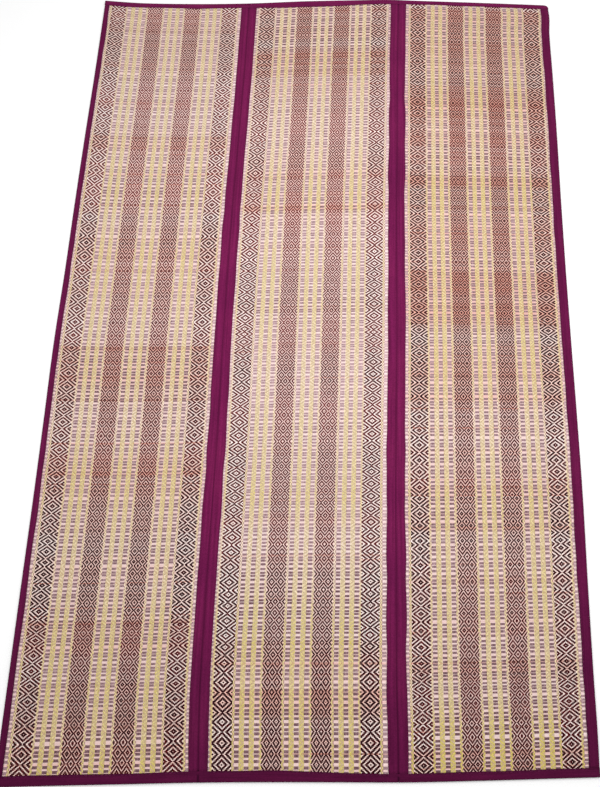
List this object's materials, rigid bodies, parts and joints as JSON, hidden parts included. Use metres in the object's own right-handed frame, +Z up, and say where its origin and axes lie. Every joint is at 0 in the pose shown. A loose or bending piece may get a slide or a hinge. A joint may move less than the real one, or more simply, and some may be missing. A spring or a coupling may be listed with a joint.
{
  "type": "folding woven reed floor mat",
  "caption": "Flat rectangular floor mat of striped and diamond-patterned woven reed panels, edged with cotton binding and joined by cloth strips along its fold lines.",
  "frame": {"origin": "on the floor under the middle of the mat's box", "axes": "+X across the panels to the right, +Y along the length to the head end, +Z up"},
  "size_m": [1.145, 1.8415, 0.005],
  "materials": {
    "reed_weave": "pale split reed woven with dark maroon, lilac and yellow cotton, slightly glossy",
    "maroon_cotton": "matt plain-woven cotton cloth"
  },
  "bodies": {
    "root": {"panel_left": "reed_weave", "panel_middle": "reed_weave", "panel_right": "reed_weave", "join_left": "maroon_cotton", "join_right": "maroon_cotton", "binding_left": "maroon_cotton", "binding_right": "maroon_cotton", "binding_head": "maroon_cotton", "binding_foot": "maroon_cotton"}
  },
  "joints": []
}
